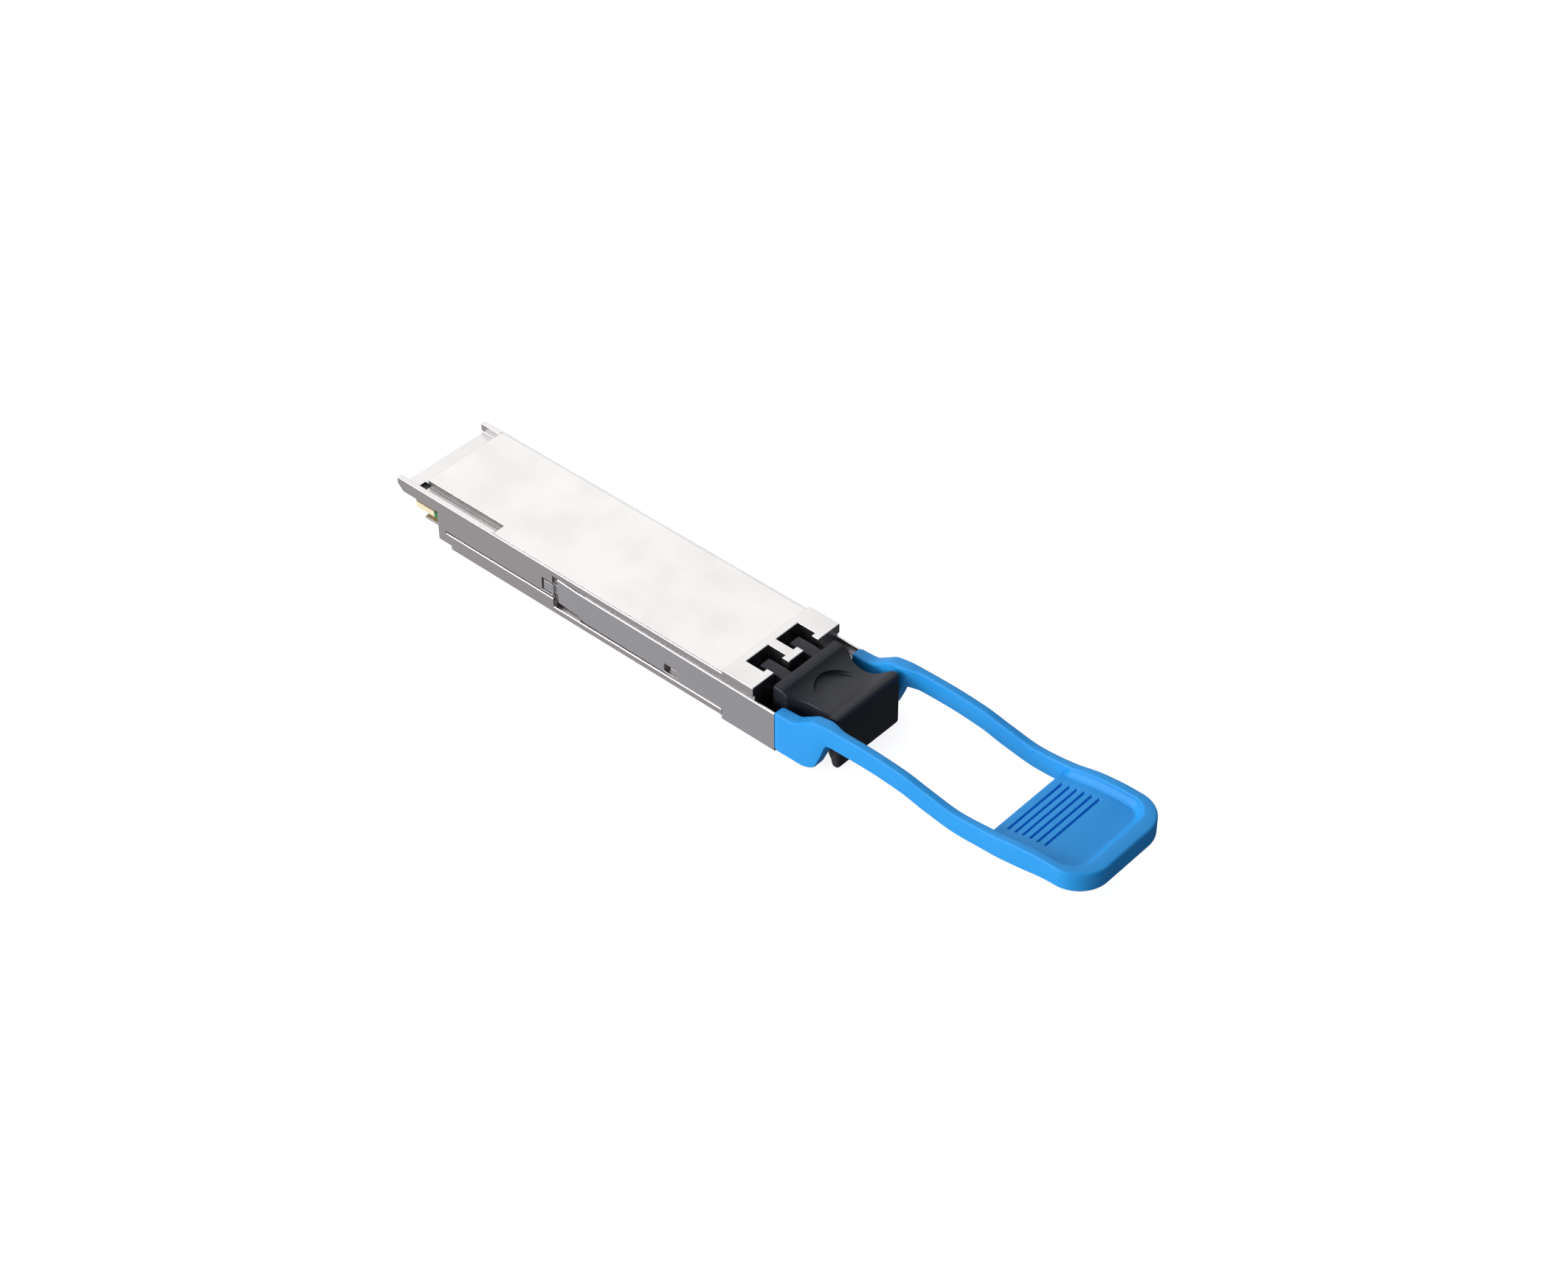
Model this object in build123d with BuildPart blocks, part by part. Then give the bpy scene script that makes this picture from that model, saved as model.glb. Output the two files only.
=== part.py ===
from build123d import *
import os

os.makedirs("parts", exist_ok=True)

# Pluggable optical transceiver with a duplex fibre nose, a sprung side-arm latch, a pull tab and a dust plug.
# +X runs along the module from the card edge to the pull tab, +Z is up, and the module is symmetric about y = 0
# except for one slot beside its cover. The origin is the bottom centre of the whole object's box.

# Driving dimensions, in millimetres
overall_length = 129.8  # card end of the rails to the front of the pull tab
width = 18.35  # across the shells and the latch arms
height = 8.5  # belly of the shells to the top cover
nose_height = 9.1  # belly of the shells to the raised roof of the nose
sheet = 0.35  # latch sheet steel
gap = 0.05  # running clearance of the latch on the shells
wall = 1.0  # cast side walls
floor = 0.9  # cast belly
roof_level = 7.15  # top of the ledge that carries the cover
split_level = 3.5  # lower edge of the upper shell's walls
cover_rear = 4.0
slot_front = 20.0  # front end of the slot beside the cover
wall_rear = 8.35
arm_rear = 33.2
lip_level = 1.6  # top of the lip under each latch arm
band_level = 7.6  # lower edge of the wall above each latch arm
rail_width = 0.325  # walls beside the inset cover
nose_rear = 65.7
nose_front = 71.45
porch_front = 74.9
tab_rear = 75.4
port_pitch = 6.25
port_width = 4.75
port_bottom = 1.9
port_top = 6.7
axis_level = 4.25  # optical axis above the belly
card_bottom = 3.8
card_thickness = 1.0
latch_travel = 1.2
bridge_relief = 0.1  # the nose's underside is set back from the belly for the latch bridge
seam = 0.38  # groove between the walls of the two shells
belly = sheet + gap - bridge_relief  # the latch bridge reaches lowest, this far under the belly

half_width = width / 2
arm_inner = half_width - sheet
recess_face = arm_inner - gap
card_top = card_bottom + card_thickness
port_offset = port_pitch / 2


def at(distance):
    """x of a section this far in front of the rail tips."""
    return distance - overall_length / 2


def up(level):
    """z of a level this far above the belly of the shells."""
    return belly + level


def block(x_range, y_range, z_range, mode=Mode.ADD):
    """Rectangular block of the open part: distances along, y, levels above the belly."""
    size = [high - low for low, high in (x_range, y_range, z_range)]
    centre = (at(sum(x_range) / 2), sum(y_range) / 2, up(sum(z_range) / 2))
    with Locations(centre):
        Box(*size, mode=mode)


def pair(x_range, y_range, z_range, mode=Mode.ADD):
    """The same block on both sides of the middle plane."""
    block(x_range, y_range, z_range, mode)
    block(x_range, (-y_range[1], -y_range[0]), z_range, mode)


def rod(x_range, y, level, radius, mode=Mode.ADD):
    """Cylinder along the module."""
    centre = (at(sum(x_range) / 2), y, up(level))
    with Locations(centre):
        Cylinder(radius, x_range[1] - x_range[0], rotation=(0, 90, 0), mode=mode)


def post(distance, y, z_range, radius, mode=Mode.ADD):
    """Upright cylinder."""
    with Locations((at(distance), y, up(sum(z_range) / 2))):
        Cylinder(radius, z_range[1] - z_range[0], mode=mode)


def save(part, name):
    """Label a finished piece and write it out."""
    part.label = name
    export_step(part, f"parts/{name}.step")


# Places shared by several pieces
bridge_rear = 65.5  # rear edge of the latch bridge under the nose
tip_front = 37.3  # the inward bend of the latch arm ends here
tip_set = 0.2  # how far the arm's tip is bent inwards
screw_places = [(distance, y) for distance in (13.5, 44.0) for y in (-6.2, 6.2)]
screw_radius = 0.8
screw_head_radius = 1.5
screw_boss_radius = 1.6
screw_seat_level = 2.4  # underside of the threaded bosses
screw_head_top = 0.8
stop_rear = 54.4 + latch_travel + gap  # travel stop lug on the shell
stop_front = 56.85
stop_window = (54.4, 56.9, 2.3, 3.75)  # slot in the latch arm round the lug
spring_rear = 58.1
spring_front = 63.4
spring_y = 7.85
spring_level = 5.2
spring_radius = 0.7
spring_wire = 0.11
spring_bay_inner = 6.95
ledge_inner = 8.27  # inner faces of the rails
barrel_radius = 1.4
barrel_front = 69.8
finger_count = 19
finger_pitch = 0.8
stub_radius = 0.625

# ---------------------------------------------------------------- lower shell
# Cast belly with low walls; in front it becomes the duplex nose and a porch round the dust plug.
with BuildPart() as lower_shell:
    block((10.95, bridge_rear - 0.1), (-half_width, half_width), (0, floor))
    pair((9.9, 32.3), (half_width - wall, half_width), (1.25, split_level - seam))
    pair((10.95, 32.3), (half_width - wall, half_width), (0, 1.5))
    # a lip under each latch arm, with a clear gap up to the arm
    pair((32.2, bridge_rear - 0.1), (recess_face - 0.1, half_width), (0, lip_level))
    belly_edges = lower_shell.edges().filter_by(Axis.X).filter_by(
        lambda edge: abs(edge.center().Z - belly) < 0.01 and abs(edge.center().Y) > half_width - 0.01
    )
    chamfer(belly_edges, length=0.55)
    pair((32.3, nose_rear), (recess_face - 0.8, recess_face), (bridge_relief, split_level - seam))
    # tongue that guides the card edge from below, and its riser
    block((4.1, 11.6), (-7.9, 7.9), (2.15, 2.5))
    block((10.95, 11.6), (-7.9, 7.9), (floor - 0.1, 2.5))
    # the lip's bright top edge, and a trench between it and the recessed wall
    lip_edges = lower_shell.edges().filter_by(Axis.X).filter_by(
        lambda edge: abs(edge.center().Z - up(lip_level)) < 0.01 and abs(edge.center().Y) > half_width - 0.01
    )
    chamfer(lip_edges, length=0.1)
    pair((32.5, 65.2), (recess_face - 0.02, half_width - 0.16), (0.75, 2), Mode.SUBTRACT)
    pair((32.5, 37.4), (recess_face - 0.55, recess_face), (0.9, 2.95), Mode.SUBTRACT)
    # travel stop lugs for the latch arms, each in a pit
    pair((54.2, 57.0), (recess_face - 0.6, recess_face + 0.1), (2.25, 4), Mode.SUBTRACT)
    pair((stop_rear, stop_front), (recess_face - 0.75, half_width - 0.1), (2.4, 3.45))
    # seats for the circuit board and the screws
    for distance in (18.0, 38.0):
        pair((distance, distance + 2), (5.4, 7.9), (floor - 0.1, card_bottom))
    for distance, y in screw_places:
        post(distance, y, (floor - 0.1, screw_seat_level), screw_boss_radius)
    # relief behind the bent tips of the latch arms
    pair((32.3, tip_front + 0.3), (recess_face - 0.3, half_width), (2.4, 4), Mode.SUBTRACT)
    # nose block, raised above the cover
    block((bridge_rear - 0.2, nose_front), (-recess_face, recess_face), (bridge_relief, floor))
    block((nose_rear, nose_front), (-recess_face, recess_face), (bridge_relief, nose_height))
    pair((nose_rear, nose_front), (recess_face - 1, half_width), (band_level - 0.1, nose_height))
    # porch: floor and side walls in front of the ports
    block((nose_front - 0.5, porch_front), (-recess_face, recess_face), (bridge_relief, 1.2))
    pair((nose_front - 0.5, porch_front), (7.7, recess_face), (bridge_relief, 5.0))
    for side in (-1, 1):
        middle = side * port_offset
        # port, then the slot above it: wide behind two shoulders, narrow at the front
        block(
            (nose_rear + 0.9, nose_front + 0.1),
            (middle - port_width / 2, middle + port_width / 2),
            (port_bottom, port_top),
            Mode.SUBTRACT,
        )
        block((66.9, 70.15), (middle - 2.33, middle + 2.33), (port_top - 0.1, 9.5), Mode.SUBTRACT)
        block((70.0, 71.6), (middle - 1.55, middle + 1.55), (port_top - 0.1, 9.5), Mode.SUBTRACT)
        rod((nose_rear - 0.5, nose_rear + 1.5), middle, axis_level, barrel_radius + 0.12, Mode.SUBTRACT)
    for distance, y in screw_places:
        post(distance, y, (-0.1, screw_head_top), screw_head_radius + 0.05, Mode.SUBTRACT)
        post(distance, y, (0, screw_seat_level + 0.1), screw_radius + 0.1, Mode.SUBTRACT)
    fillet(lower_shell.faces().sort_by(Axis.Z)[-1].edges(), radius=0.12)
    seam_edges = lower_shell.edges().filter_by(Axis.X).filter_by(
        lambda edge: abs(edge.center().Z - up(split_level - seam)) < 0.01 and abs(edge.center().Y) > half_width - 0.01
    )
    chamfer(seam_edges, length=0.1)
    # a trench that keeps the joint between the shells in shadow
    pair((10.2, 32.1), (half_width - 0.5, half_width - 0.14), (2.6, 4), Mode.SUBTRACT)
save(lower_shell.part, "lower_shell")

# ---------------------------------------------------------------- upper shell
# Cast frame: rails and roof ledge over the card edge, side walls, spring bays and screw bosses.
with BuildPart() as upper_shell:
    with BuildSketch(Plane.XZ.offset(-half_width)):
        # side profile of one wall, with the rail reaching back over the card edge
        with BuildLine():
            Polyline(
                (at(0), up(height)),
                (at(0), up(7.4)),
                (at(1.1), up(6.36)),
                (at(wall_rear), up(6.36)),
                (at(wall_rear), up(1.25)),
                (at(9.85), up(1.25)),
                (at(9.85), up(split_level)),
                (at(32.3), up(split_level)),
                (at(32.3), up(band_level - 0.2)),
                (at(37.9), up(band_level - 0.2)),
                (at(38.5), up(band_level + 0.05)),
                (at(nose_rear - 0.05), up(band_level - 0.1)),
                (at(nose_rear - 0.05), up(height)),
                close=True,
            )
        make_face()
    extrude(amount=half_width - ledge_inner)
    mirror(about=Plane.XZ)
    # thicker walls below the ledge, and the walls set back behind the latch arms
    pair((9.85, 32.3), (half_width - wall, ledge_inner + 0.1), (split_level, 8.05))
    pair((32.2, nose_rear - 0.05), (recess_face - 0.8, recess_face), (split_level, 8.05))
    # tongues that close the groove between the shells on the inside
    pair((9.95, 32.2), (half_width - wall + 0.05, half_width - 0.5), (split_level - seam + 0.03, split_level))
    pair((32.2, 54.1), (recess_face - 0.75, recess_face - 0.4), (split_level - seam + 0.03, split_level))
    # roof ledge over the card edge, carried on under the slot, with an open corner beside the cover
    block((0.4, 21.0), (-ledge_inner - 0.1, ledge_inner + 0.1), (roof_level - 0.4, roof_level - 0.05))
    block((2.6, 4.1), (-7.4, -6.0), (6, 8), Mode.SUBTRACT)
    # seats for the cover further forward
    pair((21, nose_rear - 0.05), (7.2, recess_face), (roof_level - 0.7, roof_level - 0.05))
    # bulkhead above the card
    block((12.6, 13.4), (-8.2, 8.2), (card_top + 0.4, roof_level - 0.2))
    # spring bays, open to the arm that drives them
    for side in (-1, 1):
        bay_outer = (spring_bay_inner - 0.6, recess_face)
        pair((57.0, 64.4), bay_outer, (split_level, roof_level - 0.1))
    pair((57.2, spring_front), (spring_bay_inner, half_width), (4.3, 6.1), Mode.SUBTRACT)
    # threaded bosses that hang from the walls
    for distance, y in screw_places:
        post(distance, y, (screw_seat_level, roof_level - 0.2), screw_boss_radius)
        inner, outer = sorted((y, 8.3 * y / abs(y)))
        block((distance - 1.2, distance + 1.2), (inner, outer), (card_top + 0.2, roof_level - 0.2))
        post(distance, y, (screw_seat_level - 0.1, 6.0), screw_radius + 0.02, Mode.SUBTRACT)
    # relief behind the bent tips of the latch arms
    pair((32.3, tip_front + 0.3), (recess_face - 0.3, half_width + 0.1), (3, 7.5), Mode.SUBTRACT)
    # pockets that the cage springs latch into, open to the fingers of the latch arms
    pair((30.1, 32.4), (half_width - 0.65, half_width + 0.1), (3.75, 6.05), Mode.SUBTRACT)
    # the walls drop under the cover's flange, but for a thin rail beside it
    pair((slot_front, nose_rear), (7, half_width - rail_width), (8.05, 9), Mode.SUBTRACT)
    block((cover_rear - 0.05, 21.0), (7, half_width - rail_width), (8.05, 9), Mode.SUBTRACT)
    rail_edges = upper_shell.edges().filter_by(Axis.X).filter_by(
        lambda edge: edge.center().Z > up(height) - 0.01 and abs(edge.center().Y) > ledge_inner - 0.01
    )
    fillet(rail_edges, radius=0.12)
save(upper_shell.part, "upper_shell")

# ---------------------------------------------------------------- top cover
# Flat lid let in between the rails; one side stops short to leave the slot.
cover_half_width = half_width - rail_width - 0.02
with BuildPart() as top_cover:
    block((cover_rear, nose_rear - 0.1), (-7.9, 7.9), (roof_level, height))
    block((cover_rear, nose_rear - 0.1), (-cover_half_width, cover_half_width), (8.1, height))
    block((cover_rear - 1, slot_front + 0.05), (-10, -6.6), (7, 9), Mode.SUBTRACT)
save(top_cover.part, "top_cover")

# ---------------------------------------------------------------- latch slider
# One sheet-steel stamping: a bridge under the nose, two long arms, and tangs moulded into the pull tab.
tang_level = (1.6, 6.2)
tang_front = 81.0
tang_band = (half_width - 1.0, half_width - 1.0 + sheet)
with BuildPart() as latch_slider:
    for side in (-1, 1):
        with BuildSketch(Plane.XY.offset(up(-1))):
            # plan of the arm: tip bent inwards, long straight run, jog into the tab
            with BuildLine():
                Polyline(
                    (at(arm_rear), side * (half_width - sheet / 2 - tip_set)),
                    (at(tip_front), side * (half_width - sheet / 2)),
                    (at(tab_rear), side * (half_width - sheet / 2)),
                )
            trace(line_width=sheet)
        extrude(amount=10)
    with BuildSketch(Plane.XZ.offset(-half_width - 1)):
        # side view of the arm: narrow tip, wider shank, full depth beside the nose
        with BuildLine():
            Polyline(
                (at(arm_rear - 1), up(7.1)),
                (at(tab_rear), up(6.8)),
                (at(tab_rear), 0),
                (at(bridge_rear), 0),
                (at(bridge_rear), up(1.8)),
                (at(57.5), up(1.8)),
                (at(54.0), up(2.0)),
                (at(38.6), up(2.05)),
                (at(37.2), up(2.75)),
                (at(arm_rear - 1), up(2.75)),
                close=True,
            )
        make_face()
    extrude(amount=width + 2, mode=Mode.INTERSECT)
    brow_edges = latch_slider.edges().filter_by(
        lambda edge: edge.length > 30 and edge.center().Z > up(6.5) and abs(edge.center().Y) > half_width - 0.01
    )
    chamfer(brow_edges, length=0.12)
    block((bridge_rear, tab_rear), (-half_width + 0.1, half_width - 0.1), (-belly, bridge_relief - gap))
    # fingers in the wall pockets, each on a thin neck set inwards
    pair((30.4, 32.35), (half_width - 0.5, half_width - 0.12), (3.9, 5.6))
    pair((30.4, arm_rear + 0.3), (half_width - 0.55, half_width - 0.42), (3.9, 5.6))
    # windows round the travel stops
    window_rear, window_front, window_low, window_high = stop_window
    pair((window_rear, window_front), (8, 10), (window_low, window_high), Mode.SUBTRACT)
    # lugs bent inwards behind the return springs
    pair((spring_rear - 0.5, spring_rear - 0.1), (spring_y - 0.6, arm_inner + 0.1), (4.5, 5.9))
    # tangs set inwards, so that the tab's plastic covers them
    pair((porch_front + 0.1, tab_rear), (tang_band[0], arm_inner + 0.1), tang_level)
    pair((porch_front + 0.1, tang_front), tang_band, tang_level)
    bend_edges = latch_slider.edges().filter_by(Axis.X).filter_by(
        lambda edge: edge.center().Z < 0.01 and abs(edge.center().Y) > half_width - 0.01
    )
    fillet(bend_edges, radius=0.3)
save(latch_slider.part, "latch_slider")

# ---------------------------------------------------------------- pull tab
# Soft-touch moulding: two cheeks with feet, two wavy straps and a framed finger plate.
tab_half_width = 9.2
grip_half_width = 9.45
strap_inner = 7.9
cheek_inner = 7.2
tab_start = 75.45
grip_rear = 112.6
grip_corner = 5.0
rim_front = 127.4
recess_half_width = 8.05
recess_corner = 3.2
recess_depth = 1.2
groove_first = 114.2
groove_pitch = 1.24
groove_count = 6
groove_width = 0.42
groove_half_length = 5.95
groove_depth = 0.4
top_line = [(tab_start, 7.0), (78.6, 7.2), (80.4, 8.2), (82.6, 9.5), (86.0, 10.0), (92.0, 10.1), (98.0, 9.8)]
top_line += [(102.5, 9.05), (108.0, 8.3), (113.5, 8.75), (118.5, 9.7), (123.0, 10.1), (overall_length, 10.1)]
bottom_line = [(overall_length, 6.9), (124.0, 6.8), (118.5, 5.95), (113.5, 5.15), (108.0, 4.85)]
bottom_line += [(102.5, 5.5), (98.0, 6.35), (92.0, 6.7), (86.0, 6.6)]


def placed(points, rise=0.0):
    """Points of a side view, moved to their places and raised."""
    return [(at(distance), up(level + rise)) for distance, level in points]


def grip_pocket(line, rise, far_level):
    """Hollow over one face of the finger plate, following the wave of the tab."""
    with BuildPart() as pocket:
        with BuildSketch(Plane.XZ.offset(-recess_half_width)):
            with BuildLine():
                edge = Spline(*placed(line, rise))
                first, last = placed([line[0], line[-1]])
                Polyline(edge @ 1, (last[0], far_level), (first[0], far_level), edge @ 0)
            make_face()
        extrude(amount=2 * recess_half_width)
        with BuildSketch(Plane.XY.offset(-5)):
            with Locations((at((grip_rear - 1 + rim_front) / 2), 0)):
                Rectangle(rim_front - grip_rear + 1, 2 * recess_half_width)
        extrude(amount=25, mode=Mode.INTERSECT)
        fillet(pocket.edges().filter_by(Axis.Z).group_by(Axis.X)[-1], radius=recess_corner)
    return pocket.part


upper_pocket = grip_pocket(top_line, -recess_depth, 15)
lower_pocket = grip_pocket(bottom_line, 0.9, -3)
with BuildPart() as grooves:
    for index in range(groove_count):
        middle = groove_first + index * groove_pitch
        span = (middle - groove_width / 2, middle + groove_width / 2)
        block(span, (-groove_half_length, groove_half_length), (5, 14))
    add(grip_pocket(top_line, -recess_depth - groove_depth, 15), mode=Mode.INTERSECT)

with BuildPart() as pull_tab:
    with BuildSketch(Plane.XZ.offset(-grip_half_width)):
        with BuildLine():
            upper = Spline(*placed(top_line))
            Line(upper @ 1, (at(overall_length), up(6.9)))
            lower = Spline(*placed(bottom_line))
            foot = Polyline(lower @ 1, *placed([(85.0, 6.4), (83.7, 3.3)]))
            toe = ThreePointArc(foot @ 1, *placed([(82.7, 1.2), (81.0, 0.2)]))
            Polyline(toe @ 1, *placed([(tab_start, 0.0)]), upper @ 0)
        make_face()
    extrude(amount=2 * grip_half_width)
    with BuildSketch(Plane.XY.offset(-1)):
        # plan: slim straps that widen a little at the grip, round the finger opening
        with BuildLine():
            Polyline(
                (at(tab_start), tab_half_width),
                (at(112.0), tab_half_width),
                (at(119.0), grip_half_width),
                (at(overall_length), grip_half_width),
                (at(overall_length), -grip_half_width),
                (at(119.0), -grip_half_width),
                (at(112.0), -tab_half_width),
                (at(tab_start), -tab_half_width),
                close=True,
            )
        make_face()
        with BuildLine():
            Polyline(
                (at(tab_start - 1), cheek_inner),
                (at(84.5), cheek_inner),
                (at(87.5), strap_inner),
                (at(grip_rear), strap_inner),
                (at(grip_rear), -strap_inner),
                (at(87.5), -strap_inner),
                (at(84.5), -cheek_inner),
                (at(tab_start - 1), -cheek_inner),
                close=True,
            )
        make_face(mode=Mode.SUBTRACT)
    extrude(amount=14, mode=Mode.INTERSECT)
    fillet(pull_tab.edges().filter_by(Axis.Z).group_by(Axis.X)[-1], radius=grip_corner)
    add(upper_pocket, mode=Mode.SUBTRACT)
    add(lower_pocket, mode=Mode.SUBTRACT)
    add(grooves.part, mode=Mode.SUBTRACT)
    # slots for the tangs of the latch slider
    pair((tab_start - 0.1, tang_front), tang_band, tang_level, Mode.SUBTRACT)
save(pull_tab.part, "pull_tab")

# ---------------------------------------------------------------- dust plug
# Rubber plug: two hollow prongs in the ports, a crossbar with two tongues, and a waisted thumb grip.
plug_half_width = 6.55
prong_half_width = 2.15
bar_rear = 72.8
bar_top = 8.75
plug_front = 85.0
plug_top = 9.4
saddle_level = 7.9
waist_place = 79.4
waist_half_width = 5.15
thumb_radius = 3.5
with BuildPart() as dust_plug:
    with BuildSketch(Plane.XZ.offset(-plug_half_width)):
        # side view: flat bar, saddle, tall front flange that ends in a lip
        with BuildLine():
            rear_bar = Polyline(*placed([(bar_rear, 1.7), (bar_rear, bar_top), (74.6, bar_top)]))
            saddle = ThreePointArc(rear_bar @ 1, *placed([(waist_place, saddle_level), (83.9, plug_top)]))
            flange = [(84.6, plug_top), (plug_front, 9.0), (plug_front, 0.35), (84.0, 0.35), (83.8, 1.7)]
            Polyline(saddle @ 1, *placed(flange), rear_bar @ 0)
        make_face()
    extrude(amount=2 * plug_half_width)
    # waist on both sides
    half_chord = 4.0
    bite = plug_half_width - waist_half_width
    waist_radius = (half_chord**2 + bite**2) / (2 * bite)
    for side in (-1, 1):
        with Locations((at(waist_place), side * (waist_half_width + waist_radius), up(5))):
            Cylinder(waist_radius, 20, mode=Mode.SUBTRACT)
    # thumb rest: a shallow round step that runs out to the front
    with BuildSketch(Plane(origin=(at(79.3), 0, up(7.84)), z_dir=(-0.07, 0, 1))):
        with BuildLine():
            rim = CenterArc((0, 0), thumb_radius, 90, 180)
            Line(rim @ 0, rim @ 1)
        make_face()
    extrude(amount=3, mode=Mode.SUBTRACT)
    for side in (-1, 1):
        middle = side * port_offset
        prong_band = (middle - prong_half_width, middle + prong_half_width)
        block((66.9, bar_rear + 0.1), prong_band, (port_bottom + 0.2, port_top - 0.2))
        block((68.1, bar_rear + 0.1), (middle - 1.05, middle + 1.05), (port_top - 0.3, 8.2))
        rod((66.8, 70.6), middle, axis_level, barrel_radius + 0.3, Mode.SUBTRACT)
save(dust_plug.part, "dust_plug")

# ---------------------------------------------------------------- circuit board and contact fingers
card_half_width = 8.21
card_rear = 2.0
board_front = 47.0
with BuildPart() as circuit_board:
    block((card_rear, 8.2), (-card_half_width, card_half_width), (card_bottom, card_top))
    chamfer(circuit_board.edges().filter_by(Axis.Z).group_by(Axis.X)[0], length=0.7)
    block((8.0, 31.8), (-8.1, 8.1), (card_bottom, card_top))
    block((31.7, board_front), (-7.85, 7.85), (card_bottom, card_top))
    for distance, y in screw_places:
        inner, outer = sorted((y, 9.0 * y / abs(y)))
        post(distance, y, (card_bottom, card_top), screw_boss_radius + 0.15, Mode.SUBTRACT)
        notch = (distance - screw_boss_radius - 0.15, distance + screw_boss_radius + 0.15)
        block(notch, (inner, outer), (card_bottom, card_top), Mode.SUBTRACT)
save(circuit_board.part, "circuit_board")

finger_width = 0.54
finger_thickness = 0.05
for name, level in (("contact_fingers_top", card_top), ("contact_fingers_bottom", card_bottom - finger_thickness)):
    with BuildPart() as contact_fingers:
        for index in range(finger_count):
            middle = (index - (finger_count - 1) / 2) * finger_pitch
            # every third finger is a ground and starts nearer the card's edge
            start = 2.5 if index % 3 == 0 else 3.0
            band = (middle - finger_width / 2, middle + finger_width / 2)
            block((start, 6.3), band, (level, level + finger_thickness))
    save(contact_fingers.part, name)

# ---------------------------------------------------------------- electronics on the board
# name: rear end, length, middle y, breadth, height above the board
chips = {
    "signal_processor": (21.5, 9.0, 0.0, 9.0, 1.3),
    "microcontroller": (32.0, 5.0, -3.0, 5.0, 0.85),
    "memory_chip": (32.2, 3.0, 1.8, 2.0, 0.6),
    "crystal_oscillator": (32.2, 2.5, 4.6, 2.0, 0.7),
    "laser_driver": (38.5, 4.5, 2.9, 3.6, 0.9),
    "limiting_amplifier": (38.5, 4.0, -2.9, 3.6, 0.9),
}
for name, (rear, length, middle, breadth, rise) in chips.items():
    with BuildPart() as chip:
        band = (middle - breadth / 2, middle + breadth / 2)
        block((rear, rear + length), band, (card_top, card_top + rise))
        chamfer(chip.faces().sort_by(Axis.Z)[-1].edges(), length=0.12)
    save(chip.part, name)

with BuildPart() as power_regulator:
    block((22.0, 26.0), (-2.0, 2.0), (card_bottom - 1.1, card_bottom))
    chamfer(power_regulator.faces().sort_by(Axis.Z)[0].edges(), length=0.12)
save(power_regulator.part, "power_regulator")

with BuildPart() as power_inductors:
    for middle in (-4.6, 4.6):
        block((21.5, 24.5), (middle - 1.5, middle + 1.5), (card_bottom - 1.4, card_bottom))
        block((28.0, 30.5), (middle - 1.25, middle + 1.25), (card_bottom - 1.2, card_bottom))
save(power_inductors.part, "power_inductors")

with BuildPart() as capacitors:
    for index in range(6):
        rear = 18.0 + 1.7 * index
        pair((rear, rear + 1.0), (5.4, 5.9), (card_top, card_top + 0.5))
        pair((rear, rear + 1.0), (6.4, 6.9), (card_top, card_top + 0.5))
save(capacitors.part, "capacitors")

with BuildPart() as resistors:
    for index in range(5):
        rear = 31.9 + 1.5 * index
        pair((rear, rear + 0.6), (6.7, 7.0), (card_top, card_top + 0.25))
        pair((rear, rear + 0.6), (3.0, 3.3), (card_bottom - 0.25, card_bottom))
save(resistors.part, "resistors")

pad_gap = 0.01
with BuildPart() as processor_thermal_pad:
    block((22.0, 30.0), (-4.0, 4.0), (card_top + 1.3, roof_level - pad_gap))
save(processor_thermal_pad.part, "processor_thermal_pad")

# ---------------------------------------------------------------- optical subassemblies
# Each side has a sealed package, a steel receptacle, a split sleeve, a ferrule stub, a flex and a thermal pad.
package_rear = 49.5
package_front = 60.6
package_levels = (1.6, 6.7)
collar_front = 62.2
for name, side in (("receiver", -1), ("transmitter", 1)):
    middle = side * port_offset
    low, high = sorted((side * 0.35, side * 6.2))
    with BuildPart() as package:
        block((package_rear, package_front), (low, high), package_levels)
        chamfer(package.edges().filter_by(Axis.X), length=0.3)
    save(package.part, f"{name}_package")

    with BuildPart() as receptacle:
        rod((package_front, collar_front), middle, axis_level, 2.5)
        rod((collar_front, barrel_front), middle, axis_level, barrel_radius)
        rod((package_front, barrel_front), middle, axis_level, 0.95, Mode.SUBTRACT)
        fillet(receptacle.edges().filter_by(GeomType.CIRCLE).group_by(Axis.X)[-1], radius=0.15)
    save(receptacle.part, f"{name}_receptacle")

    with BuildPart() as sleeve:
        rod((62.3, 69.4), middle, axis_level, 0.94)
        rod((62.3, 69.4), middle, axis_level, stub_radius, Mode.SUBTRACT)
        block((62.2, 69.5), (middle - 0.12, middle + 0.12), (axis_level, axis_level + 1.2), Mode.SUBTRACT)
    save(sleeve.part, f"{name}_split_sleeve")

    with BuildPart() as stub:
        rod((package_front, 65.8), middle, axis_level, stub_radius - 0.005)
    save(stub.part, f"{name}_ferrule_stub")

    low, high = sorted((side * 1.2, side * 5.2))
    with BuildPart() as flex:
        with BuildSketch(Plane.XZ.offset(-high)):
            with BuildLine():
                Polyline(*placed([(45.4, card_top + 0.08), (47.3, card_top + 0.08), (48.5, 4.4), (49.49, 4.4)]))
            trace(line_width=0.14)
        extrude(amount=high - low)
    save(flex.part, f"{name}_flex")

    low, high = sorted((side * 0.9, side * 5.6))
    with BuildPart() as thermal_pad:
        block((50.5, 59.5), (low, high), (package_levels[1], roof_level - pad_gap))
    save(thermal_pad.part, f"{name}_thermal_pad")

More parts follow.
